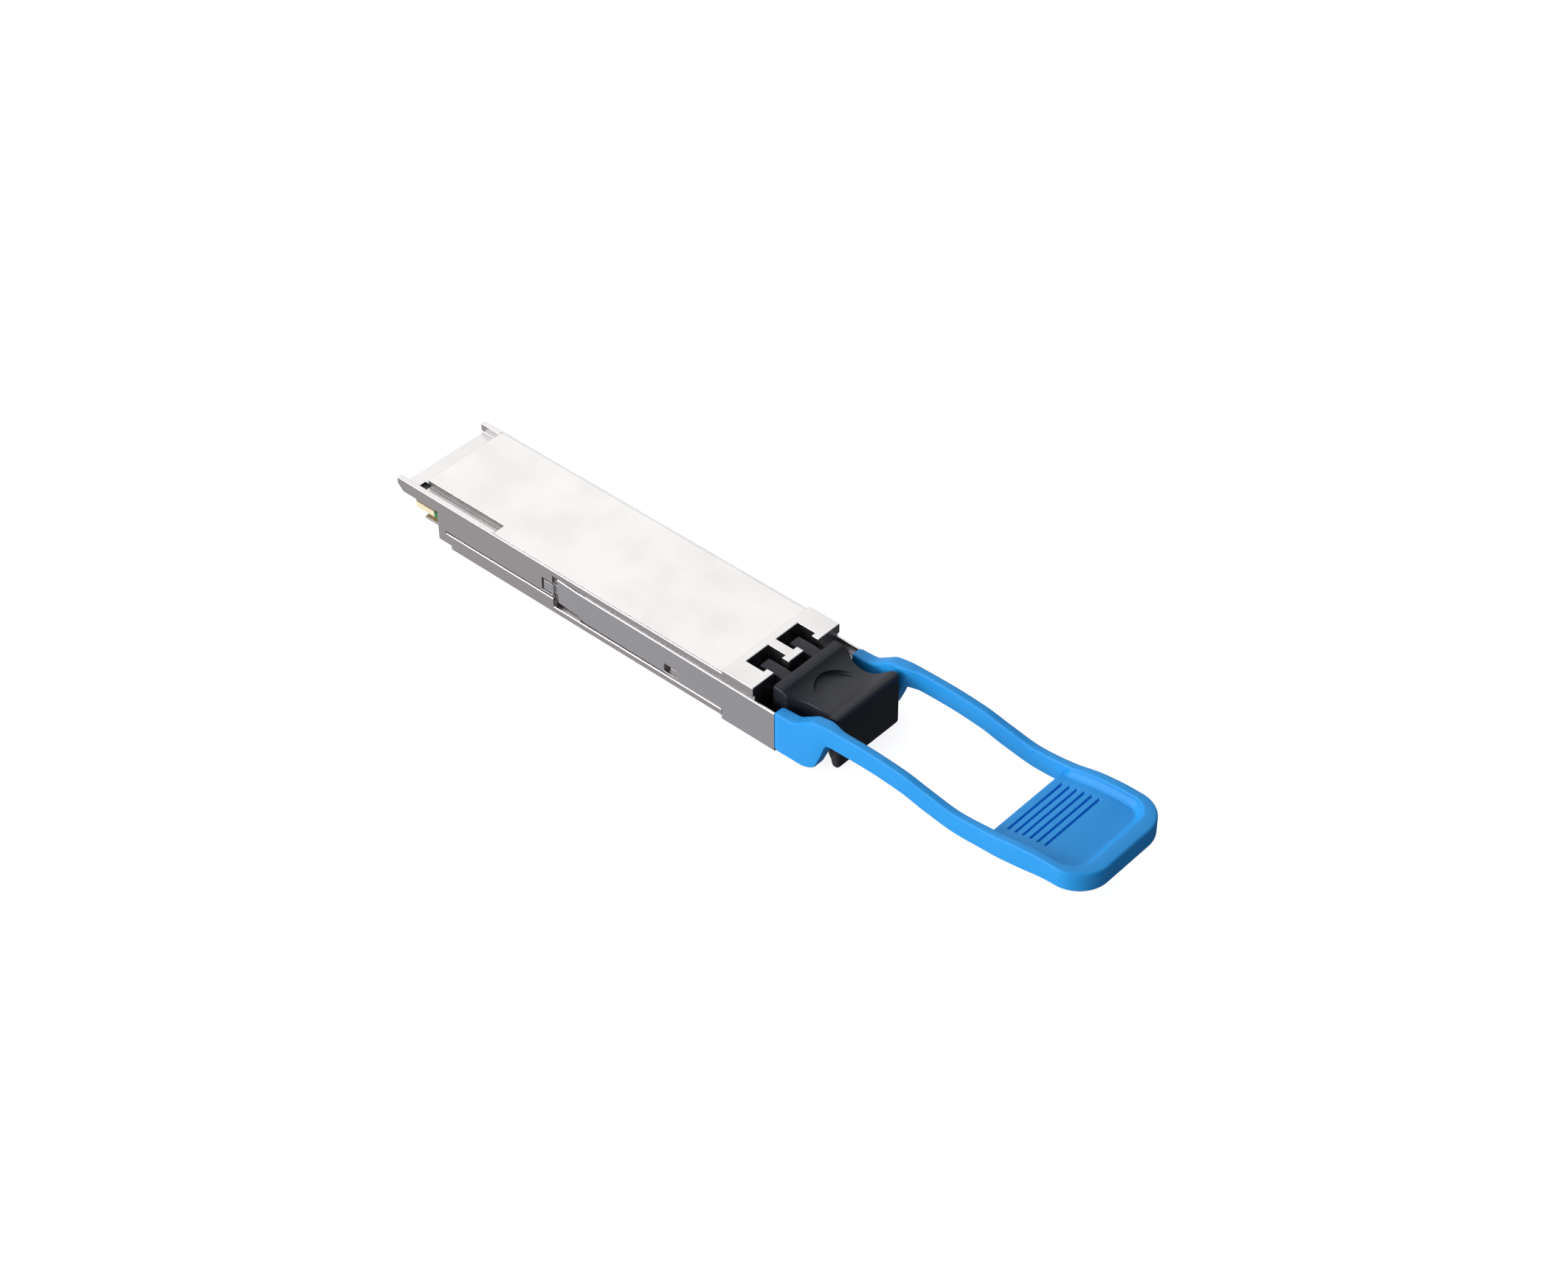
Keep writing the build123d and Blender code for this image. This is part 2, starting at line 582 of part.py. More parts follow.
with BuildPart() as shield_gasket:
    block((62.4, nose_rear - 0.05), (-6.2, 6.2), (floor + 0.1, roof_level - 0.1))
    for side in (-1, 1):
        rod((62, 66), side * port_offset, axis_level, barrel_radius + 0.02, Mode.SUBTRACT)
save(shield_gasket.part, "shield_gasket")

# ---------------------------------------------------------------- fasteners and return springs
with BuildPart() as shell_screws:
    for distance, y in screw_places:
        post(distance, y, (screw_head_top - 0.75, screw_head_top - 0.02), screw_head_radius)
        post(distance, y, (screw_head_top - 0.1, 5.6), screw_radius)
        with Locations((at(distance), y, up(screw_head_top - 0.65))):
            Box(1.7, 0.4, 0.5, mode=Mode.SUBTRACT)
            Box(0.4, 1.7, 0.5, mode=Mode.SUBTRACT)
save(shell_screws.part, "shell_screws")

spring_turns = 7
coil_radius = spring_radius - spring_wire
for name, side in (("return_spring_left", 1), ("return_spring_right", -1)):
    start = (at(spring_rear + 0.15), side * spring_y, up(spring_level))
    coil_length = spring_front - spring_rear - 0.3
    with BuildPart() as return_spring:
        with BuildLine() as coil:
            Helix(coil_length / spring_turns, coil_length, coil_radius, center=start, direction=(1, 0, 0))
        with BuildSketch(Plane(origin=coil.line @ 0, z_dir=coil.line % 0)):
            Circle(spring_wire)
        sweep(is_frenet=True)
    save(return_spring.part, name)
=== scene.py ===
# %% [markdown]
# # A pluggable optical transceiver, dressed around its CAD frame
#
# The metal body, the circuit board and what is sealed inside come from the CAD model, and keep their shapes
# here. The blue pull tab and the black dust plug are made again as finer meshes, because soft plastic lives
# from its rounded edges. The two return springs are made again too, as coil meshes, and one small black
# block is added under an open corner as painted shade. Everything gets a procedural finish.

import math

import bmesh
import bpy
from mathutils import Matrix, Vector


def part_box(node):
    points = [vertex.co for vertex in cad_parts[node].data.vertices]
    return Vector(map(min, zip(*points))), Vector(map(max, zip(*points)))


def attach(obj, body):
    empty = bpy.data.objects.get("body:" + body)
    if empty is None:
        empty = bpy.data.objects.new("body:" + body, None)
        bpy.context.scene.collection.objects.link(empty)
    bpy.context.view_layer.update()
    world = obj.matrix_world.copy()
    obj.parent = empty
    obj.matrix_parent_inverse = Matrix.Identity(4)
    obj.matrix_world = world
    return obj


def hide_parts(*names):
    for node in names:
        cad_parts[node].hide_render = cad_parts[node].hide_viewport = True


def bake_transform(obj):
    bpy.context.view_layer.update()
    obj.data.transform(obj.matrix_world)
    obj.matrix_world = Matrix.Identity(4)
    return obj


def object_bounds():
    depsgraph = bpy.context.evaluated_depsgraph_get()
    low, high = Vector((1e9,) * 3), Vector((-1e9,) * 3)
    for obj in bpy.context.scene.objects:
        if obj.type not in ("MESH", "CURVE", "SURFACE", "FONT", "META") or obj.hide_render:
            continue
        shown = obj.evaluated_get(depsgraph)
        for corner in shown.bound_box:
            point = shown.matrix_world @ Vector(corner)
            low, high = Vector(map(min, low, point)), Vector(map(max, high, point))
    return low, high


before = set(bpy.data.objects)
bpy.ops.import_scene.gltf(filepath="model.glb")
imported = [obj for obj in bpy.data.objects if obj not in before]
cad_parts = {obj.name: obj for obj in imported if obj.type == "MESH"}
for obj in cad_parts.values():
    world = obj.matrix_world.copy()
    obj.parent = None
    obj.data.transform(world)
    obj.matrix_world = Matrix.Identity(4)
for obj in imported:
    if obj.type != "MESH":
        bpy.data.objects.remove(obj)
cad_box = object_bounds()
print("CAD box:", [[round(value, 5) for value in corner] for corner in cad_box])

# %% [markdown]
# ## A ruler along the module
#
# Drawings of such a module measure from the rear tips of the rails and from the belly of the shells. The two
# helpers turn those measures, in millimetres, into scene metres, from where the CAD nodes really are. That
# way a moved frame moves every new piece with it.

# %% Ruler
MM = 0.001
rail_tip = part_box("upper_shell")[0][0]
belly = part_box("lower_shell")[0][2]


def at(distance):
    """x of a place this many millimetres in front of the rail tips."""
    return rail_tip + distance * MM


def up(level):
    """z of a place this many millimetres above the belly."""
    return belly + level * MM


print("rail tips at x =", round(rail_tip, 5), "belly at z =", round(belly, 5))

# %% [markdown]
# ## Camera
#
# A product camera with a longish lens, looking down on the near side from the pull-tab end. Angles are easier
# to reason about than a rotation, so the camera is placed on a sphere round a point on the module's middle
# line and turned to face that point.

# %% Camera
look_target = Vector((at(69.1), 0.0, up(10.6)))
view_azimuth = math.radians(41.73)
view_elevation = math.radians(41.52)
view_distance = 0.4651
view_lens = 76.33

level_reach = view_distance * math.cos(view_elevation)
view_offset = Vector((
    level_reach * math.sin(view_azimuth),
    -level_reach * math.cos(view_azimuth),
    view_distance * math.sin(view_elevation),
))
camera = bpy.data.objects.new("camera", bpy.data.cameras.new("camera"))
bpy.context.scene.collection.objects.link(camera)
camera.location = look_target + view_offset
camera.rotation_euler = (-view_offset).to_track_quat("-Z", "Y").to_euler()
camera.data.lens = view_lens
camera.data.clip_start = 0.01
bpy.context.scene.camera = camera
print("camera at", [round(value, 4) for value in camera.location])

# %% [markdown]
# ## Floor
#
# The floor is only there to stand on. It takes soft shadows, but it is kept out of the reflections, as a
# sweep of white paper would wash the metal out. A little light of its own makes it white without more lamps.

# %% Floor
def link(thing):
    """Put an object into the scene."""
    bpy.context.scene.collection.objects.link(thing)
    return thing


floor_reach, floor_gap = 14.0, 0.00002
paper_glow = 0.86
floor_mesh = bpy.data.meshes.new("floor")
floor_corners = [(-floor_reach, -floor_reach, 0), (floor_reach, -floor_reach, 0),
                 (floor_reach, floor_reach, 0), (-floor_reach, floor_reach, 0)]
floor_mesh.from_pydata(floor_corners, [], [(0, 1, 2, 3)])
floor = link(bpy.data.objects.new("floor", floor_mesh))
floor.location.z = cad_box[0][2] - floor_gap
floor.visible_diffuse = False
floor.visible_glossy = False
paper = bpy.data.materials.new("paper")
paper.use_nodes = True
paper_shader = paper.node_tree.nodes["Principled BSDF"]
paper_shader.inputs["Base Color"].default_value = (0.42, 0.42, 0.43, 1.0)
paper_shader.inputs["Roughness"].default_value = 0.9
paper_shader.inputs["Specular IOR Level"].default_value = 0.0
paper_shader.inputs["Emission Color"].default_value = (1.0, 1.0, 1.0, 1.0)
paper_shader.inputs["Emission Strength"].default_value = paper_glow
floor_mesh.materials.append(paper)
print("floor at z =", round(floor.location.z, 6))

# %% [markdown]
# ## Lamps
#
# Bright metal shows what stands round it, so the lamps are planned as reflections. The rear panel is what the
# flat cover mirrors towards the camera, and the low key panel on the near side lights the flanks of the tab.
# The edge panel shows up in the rounded arrises, and the far panel serves the sides that are turned away. A
# weak blue panel in front keeps the faces that look forward deep without making them black.

# %% Studio panels
def panel(name, place, size, power, colour=(1.0, 1.0, 1.0)):
    """A rectangular soft lamp that faces the middle of the module."""
    lamp = bpy.data.lights.new(name, "AREA")
    lamp.shape = "RECTANGLE"
    lamp.size, lamp.size_y = size
    lamp.energy = power
    lamp.color = colour
    holder = link(bpy.data.objects.new(name, lamp))
    holder.location = place
    holder.rotation_euler = (look_target - Vector(place)).to_track_quat("-Z", "Y").to_euler()
    return holder


panel("rear_panel", (-0.54, 0.57, 0.68), (0.95, 0.85), 1.5, (1.0, 0.985, 0.97))
panel("near_key_panel", (-0.35, -0.88, 0.24), (0.8, 0.4), 7.0)
panel("edge_panel", (-0.50, -0.55, 0.68), (0.6, 0.5), 1.3)
panel("far_panel", (0.64, 0.70, 0.55), (0.8, 0.7), 0.9, (0.86, 0.92, 1.0))
panel("cool_front_fill", (0.80, 0.20, 0.12), (0.7, 0.5), 0.40, (0.40, 0.55, 1.0))

# %% [markdown]
# ## Surroundings
#
# An even world would light every face alike. This one is the sum of two soft glows. A wide one fades from
# bright behind to dark in front along a slanting direction. A small low one on the near side in front gives
# the metal walls something to mirror when they are seen from elsewhere.

# %% Surroundings
world = bpy.data.worlds.new("studio")
world.use_nodes = True
sky = world.node_tree
direction = sky.nodes.new("ShaderNodeTexCoord").outputs["Generated"]


def glow(towards, start, end, low, high):
    """Strength that rises smoothly from low to high as a direction turns to face the given one."""
    lean = sky.nodes.new("ShaderNodeVectorMath")
    lean.operation = "DOT_PRODUCT"
    lean.inputs[1].default_value = Vector(towards).normalized()
    sky.links.new(direction, lean.inputs[0])
    fade = sky.nodes.new("ShaderNodeMapRange")
    fade.interpolation_type = "SMOOTHSTEP"
    for label, value in {"From Min": start, "From Max": end, "To Min": low, "To Max": high}.items():
        fade.inputs[label].default_value = value
    sky.links.new(lean.outputs["Value"], fade.inputs["Value"])
    return fade.outputs[0]


main_glow = glow((-0.9, -0.35, 0.25), start=-0.45, end=0.6, low=0.06, high=0.62)
low_glow = glow((0.60, -0.66, -0.45), start=0.45, end=0.95, low=0.0, high=0.26)
both_glows = sky.nodes.new("ShaderNodeMath")
sky.links.new(main_glow, both_glows.inputs[0])
sky.links.new(low_glow, both_glows.inputs[1])
sky.links.new(both_glows.outputs[0], sky.nodes["Background"].inputs["Strength"])
sky.nodes["Background"].inputs["Color"].default_value = (1.0, 0.99, 0.985, 1.0)
bpy.context.scene.world = world
bpy.context.scene.view_settings.view_transform = "Standard"
print("surroundings:", len(sky.nodes), "nodes")

# %% [markdown]
# ## Node helpers
#
# A finish is a small graph, and a few helpers keep such graphs readable. The first adds a node and wires its
# inputs in the same line: an input may be a number or colour, which is written on the socket, or another
# node's output, which is linked. Three more do a step of arithmetic, mix two colours or stretch a value. The
# last two make an empty node group with named sockets, and place one with its own values.

# %% Node helpers
def add_node(tree, kind, output=0, settings=None, **inputs):
    """Add a node, fill or link its inputs by name (or by number: i0, i1), return one of its outputs."""
    made = tree.nodes.new(kind)
    for name, value in (settings or {}).items():
        setattr(made, name, value)
    for name, value in inputs.items():
        socket = made.inputs[int(name[1:])] if name[1:].isdigit() else made.inputs[name.replace("_", " ")]
        if isinstance(value, bpy.types.NodeSocket):
            tree.links.new(value, socket)
        else:
            socket.default_value = value
    return made.outputs[output]


def maths(tree, operation, first, second=0.0):
    """One arithmetic step, clamped to 0..1."""
    settings = {"operation": operation, "use_clamp": True}
    return add_node(tree, "ShaderNodeMath", 0, settings, i0=first, i1=second)


def blend_colour(tree, share, first, second):
    """Mix two colours by a share from 0 to 1."""
    return add_node(tree, "ShaderNodeMix", 2, {"data_type": "RGBA"}, i0=share, i6=first, i7=second)


def remap(tree, value, low, high, to_low=0.0, to_high=1.0):
    """Stretch a value from one range to another, clamped."""
    return add_node(tree, "ShaderNodeMapRange", 0, {"clamp": True}, Value=value, From_Min=low,
                    From_Max=high, To_Min=to_low, To_Max=to_high)


def new_group(name, inputs, outputs):
    """Empty node group; inputs are name: default, outputs are name: socket type."""
    group = bpy.data.node_groups.new(name, "ShaderNodeTree")
    for label, default in inputs.items():
        socket = group.interface.new_socket(label, in_out="INPUT", socket_type="NodeSocketFloat")
        socket.default_value = default
    for label, kind in outputs.items():
        group.interface.new_socket(label, in_out="OUTPUT", socket_type=kind)
    source = group.nodes.new("NodeGroupInput")
    target = group.nodes.new("NodeGroupOutput")
    return group, source.outputs, target.inputs


def use_group(tree, group, **inputs):
    """Place a node group with its own values and return its outputs."""
    placed = tree.nodes.new("ShaderNodeGroup")
    placed.node_tree = group
    for name, value in inputs.items():
        placed.inputs[name.replace("_", " ")].default_value = value
    return placed.outputs


# %% [markdown]
# ## Shared effects
#
# Four effects come back in almost every finish. The edge highlight finds the arrises by asking for a rounded
# normal and seeing how far it leans from the true one, so it needs no map; the finishes paint the arrises it
# finds lighter, as a painted highlight. Grain is a fine noise for cast and moulded skins. Brush marks are the
# same noise, stretched along the module. Mottle is a slow drift of tone, as handling and plating leave it.

# %% Edge highlight
bevel_samples = 8
edge_highlight, source, target = new_group(
    "edge_highlight", {"Reach": 0.0002, "Strength": 1.0}, {"Mask": "NodeSocketFloat"}
)
tree = edge_highlight
# the mask marks the arrises, which the finishes paint lighter as a highlight
rounded = add_node(tree, "ShaderNodeBevel", 0, {"samples": bevel_samples}, Radius=source["Reach"])
true_normal = add_node(tree, "ShaderNodeNewGeometry", "Normal")
agreement = add_node(tree, "ShaderNodeVectorMath", "Value", {"operation": "DOT_PRODUCT"},
                     i0=rounded, i1=true_normal)
lean = remap(tree, agreement, 1.0, 0.82)
tree.links.new(maths(tree, "MULTIPLY", lean, source["Strength"]), target["Mask"])

# %% Grain
grain, source, target = new_group(
    "grain", {"Scale": 6000.0, "Contrast": 0.5}, {"Value": "NodeSocketFloat", "Height": "NodeSocketFloat"}
)
tree = grain
place = add_node(tree, "ShaderNodeTexCoord", "Object")
noise = add_node(tree, "ShaderNodeTexNoise", 0, None, Vector=place, Scale=source["Scale"],
                 Detail=3.0, Roughness=0.6)
centred = add_node(tree, "ShaderNodeMath", 0, {"operation": "SUBTRACT"}, i0=noise, i1=0.5)
scaled = add_node(tree, "ShaderNodeMath", 0, {"operation": "MULTIPLY"}, i0=centred, i1=source["Contrast"])
tree.links.new(add_node(tree, "ShaderNodeMath", 0, {"operation": "ADD"}, i0=scaled, i1=0.5), target["Value"])
tree.links.new(noise, target["Height"])

# %% Brush marks
brush, source, target = new_group(
    "brush_marks", {"Scale": 5000.0, "Stretch": 0.03}, {"Value": "NodeSocketFloat"}
)
tree = brush
place = add_node(tree, "ShaderNodeTexCoord", "Object")
axes = add_node(tree, "ShaderNodeCombineXYZ", 0, None, X=source["Stretch"], Y=1.0, Z=1.0)
drawn = add_node(tree, "ShaderNodeVectorMath", 0, {"operation": "MULTIPLY"}, i0=place, i1=axes)
noise = add_node(tree, "ShaderNodeTexNoise", 0, None, Vector=drawn, Scale=source["Scale"], Detail=2.0)
tree.links.new(noise, target["Value"])

# %% Mottle
mottle, source, target = new_group(
    "mottle", {"Scale": 120.0, "Low": 0.35, "High": 0.65}, {"Mask": "NodeSocketFloat"}
)
tree = mottle
place = add_node(tree, "ShaderNodeTexCoord", "Object")
noise = add_node(tree, "ShaderNodeTexNoise", 0, None, Vector=place, Scale=source["Scale"], Detail=4.0)
spread = add_node(tree, "ShaderNodeMapRange", 0, None, Value=noise, From_Min=source["Low"],
                  From_Max=source["High"])
tree.links.new(spread, target["Mask"])
print("shared effects:", sorted(group.name for group in bpy.data.node_groups))

# %% [markdown]
# ## Finishes
#
# Every finish starts from the same empty material. Constants such as coat and specular level are written on
# the shader itself, while what varies over the surface is linked. Relief that is too fine to model goes
# through a Bump node, which can also round the normal near an arris.

# %% Start a finish
def new_finish(name, metallic=0.0, roughness=0.5, **constants):
    """Material with one Principled shader; returns the material, its tree and the shader."""
    material = bpy.data.materials.new(name)
    material.use_nodes = True
    shader = material.node_tree.nodes["Principled BSDF"]
    shader.inputs["Metallic"].default_value = metallic
    shader.inputs["Roughness"].default_value = roughness
    for label, value in constants.items():
        shader.inputs[label.replace("_", " ")].default_value = value
    return material, material.node_tree, shader


def grey(value, warmth=0.0):
    """Opaque grey, with a touch of warmth or, if negative, of cold."""
    return (value * (1 + warmth), value, value * (1 - warmth), 1.0)


def bump(tree, shader, height, distance, strength=1.0, rounding=0.0):
    """Drive the shader's normal from a height, with the arrises softened if asked."""
    inputs = {"Strength": strength, "Distance": distance, "Height": height}
    if rounding:
        inputs["Normal"] = add_node(tree, "ShaderNodeBevel", 0, {"samples": bevel_samples}, Radius=rounding)
    tree.links.new(add_node(tree, "ShaderNodeBump", 0, None, **inputs), shader.inputs["Normal"])


# %% [markdown]
# ### Plated castings
#
# The shells are zinc castings with bright nickel plate. Faces that look up get a lighter base colour, a
# painted top light, while the walls keep a darker tone. One finish holds both: it mixes by how far the
# surface looks up, paints the arrises lighter as a painted highlight, adds a grain, and a slow mottle in the
# roughness. The cover and the latch take the same recipe with other tones, and the latch also shows the brush
# marks of rolled sheet.

# %% Metal finish
def metal_finish(name, wall_colour, top_light_tone, roughness, grain_scale, wear=1.0, brushed=0.0):
    """Plated or bare metal: darker walls, a painted top light on upward faces, a painted highlight on edges.
    """
    material, tree, shader = new_finish(name, metallic=1.0)
    facing = add_node(tree, "ShaderNodeNewGeometry", "Normal")
    height = add_node(tree, "ShaderNodeSeparateXYZ", 2, None, Vector=facing)
    # painted top light: faces that look up get a lighter base colour than the walls
    top_light_share = remap(tree, height, 0.55, 0.9)
    drift = use_group(tree, mottle, Scale=140.0)["Mask"]
    edge_highlight_mask = use_group(tree, edge_highlight, Reach=0.00011, Strength=wear)["Mask"]
    skin = use_group(tree, grain, Scale=grain_scale, Contrast=0.35)
    lines = use_group(tree, brush, Scale=4500.0)["Value"]
    dull, dark = [tuple(part * share for part in wall_colour) + (1.0,) for share in (0.88, 0.72)]
    walls = blend_colour(tree, maths(tree, "MULTIPLY", drift, 0.35), wall_colour + (1.0,), dull)
    base = blend_colour(tree, top_light_share, walls, grey(top_light_tone, 0.006))
    speckled = blend_colour(tree, maths(tree, "MULTIPLY", skin["Value"], 0.12), base, dark)
    lined = blend_colour(tree, maths(tree, "MULTIPLY", lines, brushed), speckled, dark)
    # painted highlight: the arrises are lightened towards a pale grey
    colour = blend_colour(tree, edge_highlight_mask, lined, grey(0.93, 0.005))
    tree.links.new(colour, shader.inputs["Base Color"])
    tone = remap(tree, drift, 0.0, 1.0, roughness - 0.04, roughness + 0.05)
    tree.links.new(tone, shader.inputs["Roughness"])
    bump(tree, shader, skin["Height"], 0.000006, 0.5, rounding=0.00008)
    return material


cast_finish = metal_finish("nickel_cast", (0.50, 0.465, 0.475), 0.81, 0.30, 9000.0)
cover_finish = metal_finish("nickel_cover", (0.50, 0.49, 0.49), 0.88, 0.34, 14000.0, wear=0.8)
latch_finish = metal_finish("latch_sheet", (0.53, 0.52, 0.56), 0.76, 0.27, 11000.0, brushed=0.3)


# %% [markdown]
# ### Moulded tab
#
# The tab is a matt engineering plastic, dyed through in a clear blue. Such a skin scatters light, so it gets
# a little light from below the surface, a fine mould texture, and a slightly paler tone on the arrises, which
# is a painted highlight. The plug's black rubber takes the same recipe, without the light from below.

# %% Tab plastic
def moulded_finish(name, body, shade, edge_highlight_tone, roughness, grain_scale, wear, **constants):
    """Dyed plastic or rubber: drifting tone, fine grain, edges lightened as a painted highlight."""
    material, tree, shader = new_finish(name, roughness=roughness, **constants)
    drift = use_group(tree, mottle, Scale=90.0)["Mask"]
    skin = use_group(tree, grain, Scale=grain_scale, Contrast=0.5)
    edge_highlight_mask = use_group(tree, edge_highlight, Reach=0.00022, Strength=wear)["Mask"]
    base = blend_colour(tree, drift, body, shade)
    # painted highlight: the arrises take the paler tone
    colour = blend_colour(tree, edge_highlight_mask, base, edge_highlight_tone)
    tree.links.new(colour, shader.inputs["Base Color"])
    tree.links.new(remap(tree, skin["Value"], 0.2, 0.8, roughness - 0.05, roughness + 0.06),
                   shader.inputs["Roughness"])
    bump(tree, shader, skin["Height"], 0.000008, 0.6)
    return material


tab_finish = moulded_finish(
    "tab_plastic", (0.018, 0.345, 0.86, 1.0), (0.014, 0.32, 0.82, 1.0), (0.04, 0.42, 0.94, 1.0),
    roughness=0.45, grain_scale=7000.0, wear=0.35,
    Subsurface_Weight=0.08, Subsurface_Scale=0.0008, Specular_IOR_Level=0.3,
)
plug_finish = moulded_finish(
    "plug_rubber", (0.009, 0.010, 0.014, 1.0), (0.007, 0.008, 0.012, 1.0), (0.026, 0.028, 0.035, 1.0),
    roughness=0.47, grain_scale=8000.0, wear=0.5,
    Sheen_Weight=0.05, Sheen_Roughness=0.5, Specular_Tint=(0.80, 0.84, 1.0, 1.0),
)
print("mouldings:", tab_finish.name, plug_finish.name)

# %% [markdown]
# ### Circuit board
#
# The card edge is bare cream laminate behind its gold fingers, and further in the board is covered with green
# solder mask, which laps over its sides. Bare cut edges show the layers of the laminate as fine stripes. One
# finish does it all: the place along the module picks mask or laminate, and the normal finds the cut edges.

# %% Circuit board
def board_finish(mask_start):
    """Laminate with solder mask in front of mask_start and striped cut edges."""
    material, tree, shader = new_finish("board_laminate", roughness=0.45)
    place = add_node(tree, "ShaderNodeTexCoord", "Object")
    along = add_node(tree, "ShaderNodeSeparateXYZ", 0, None, Vector=place)
    height = add_node(tree, "ShaderNodeSeparateXYZ", 2, None, Vector=place)
    facing = add_node(tree, "ShaderNodeNewGeometry", "Normal")
    lift = add_node(tree, "ShaderNodeSeparateXYZ", 2, None, Vector=facing)
    flat = remap(tree, add_node(tree, "ShaderNodeMath", 0, {"operation": "ABSOLUTE"}, i0=lift), 0.5, 0.8)
    masked = remap(tree, along, mask_start, mask_start + 0.05 * MM)
    # in radians for each metre of height, so a stripe comes back every 0.17 mm
    phase = add_node(tree, "ShaderNodeMath", 0, {"operation": "MULTIPLY"}, i0=height, i1=36000.0)
    layers = add_node(tree, "ShaderNodeMath", 0, {"operation": "SINE"}, i0=phase)
    stripes = remap(tree, layers, -1.0, 1.0)
    cut = blend_colour(tree, stripes, (0.90, 0.82, 0.62, 1.0), (0.76, 0.63, 0.40, 1.0))
    bare = blend_colour(tree, flat, cut, (0.74, 0.64, 0.42, 1.0))
    weave = use_group(tree, grain, Scale=5000.0, Contrast=0.6)
    drift = use_group(tree, mottle, Scale=400.0)["Mask"]
    green = blend_colour(tree, drift, (0.015, 0.20, 0.06, 1.0), (0.012, 0.14, 0.05, 1.0))
    tree.links.new(blend_colour(tree, masked, bare, green), shader.inputs["Base Color"])
    tree.links.new(remap(tree, masked, 0.0, 1.0, 0.62, 0.28), shader.inputs["Roughness"])
    bump(tree, shader, weave["Height"], 0.000006, 0.5)
    return material


mask_place = at(6.5)
laminate_finish = board_finish(mask_place)
print("solder mask starts at x =", round(mask_place, 5))

# %% [markdown]
# ### Small parts
#
# The pieces inside are seen only through gaps, or when the object is taken apart. Each still has the skin of
# its real material, made from the same recipe with different tones: a base that drifts between two colours, a
# grain that also moves the roughness, and lighter edges, which are a painted highlight.

# %% Small parts
def plain_finish(name, light, dark, roughness, metallic=0.0, grain_scale=8000.0, wear=0.3, depth=0.000006,
                 **constants):
    """Two drifting tones, grain in roughness and bump, and lighter edges as a painted highlight."""
    material, tree, shader = new_finish(name, metallic, roughness, **constants)
    drift = use_group(tree, mottle, Scale=260.0)["Mask"]
    skin = use_group(tree, grain, Scale=grain_scale, Contrast=0.5)
    edge_highlight_mask = use_group(tree, edge_highlight, Reach=0.00012, Strength=wear)["Mask"]
    # painted highlight: the arrises take a lighter colour
    edge_highlight_colour = tuple(min(1.0, 1.5 * part + 0.03) for part in light[:3]) + (1.0,)
    colour = blend_colour(tree, edge_highlight_mask, blend_colour(tree, drift, light, dark), edge_highlight_colour)
    tree.links.new(colour, shader.inputs["Base Color"])
    tree.links.new(remap(tree, skin["Value"], 0.2, 0.8, roughness - 0.05, roughness + 0.05),
                   shader.inputs["Roughness"])
    bump(tree, shader, skin["Height"], depth, 0.5)
    return material


gold_finish = plain_finish("contact_gold", (0.95, 0.66, 0.25, 1.0), (0.88, 0.57, 0.19, 1.0),
                           0.22, 1.0, 12000.0)
chip_finish = plain_finish("chip_epoxy", grey(0.022), grey(0.032), 0.55)
can_finish = plain_finish("oscillator_can", grey(0.72, 0.03), grey(0.62, 0.04), 0.26, 1.0, 11000.0)
ferrite_finish = plain_finish("inductor_ferrite", grey(0.10, 0.03), grey(0.075), 0.62, 0.0, 6000.0)
ceramic_finish = plain_finish("capacitor_ceramic", (0.46, 0.33, 0.20, 1.0), (0.38, 0.26, 0.15, 1.0), 0.4)
silicone_finish = plain_finish("thermal_silicone", (0.46, 0.52, 0.60, 1.0), (0.40, 0.46, 0.54, 1.0),
                               0.75, 0.0, 3000.0, 0.1, 0.00002,
                               Subsurface_Weight=0.1, Subsurface_Scale=0.0005)
package_finish = plain_finish("package_gold", (0.90, 0.67, 0.33, 1.0), (0.82, 0.58, 0.26, 1.0),
                              0.3, 1.0, 9000.0)
steel_finish = plain_finish("receptacle_steel", grey(0.66), grey(0.56), 0.24, 1.0, 9000.0)
zirconia_finish = plain_finish("zirconia", grey(0.84, 0.01), grey(0.78, 0.015), 0.18, 0.0, 14000.0, 0.0,
                               Subsurface_Weight=0.2, Subsurface_Scale=0.0004)
film_finish = plain_finish("flex_film", (0.52, 0.20, 0.035, 1.0), (0.44, 0.15, 0.025, 1.0),
                           0.3, 0.0, 9000.0, 0.2, Coat_Weight=0.25)
foam_finish = plain_finish("gasket_foam", grey(0.16), grey(0.11), 0.8, 0.6, 2600.0, 0.2, 0.00004)
screw_finish = plain_finish("screw_steel", grey(0.42), grey(0.30), 0.33, 1.0, 9000.0, 0.8)
spring_finish = plain_finish("spring_steel", grey(0.58, 0.01), grey(0.48), 0.25, 1.0, 12000.0, 0.4)
print("finishes:", len(bpy.data.materials))

# %% [markdown]
# ## Pull tab
#
# The tab is one moulding: two cheeks that grip the latch arms, each with a foot that drops beside the plug,
# two straps that rise, dip and rise again, and a finger plate with a raised rim. Blocking it out from boxes
# would give hard, cut edges. It is easier to think of it as a rounded bar that is swept round a U: along one
# strap, round the front and back along the other, while side-view lines say how high and low it is there.
# The plate is a fine height field let into the bar, so its grooves and its soft inner slope are real relief.

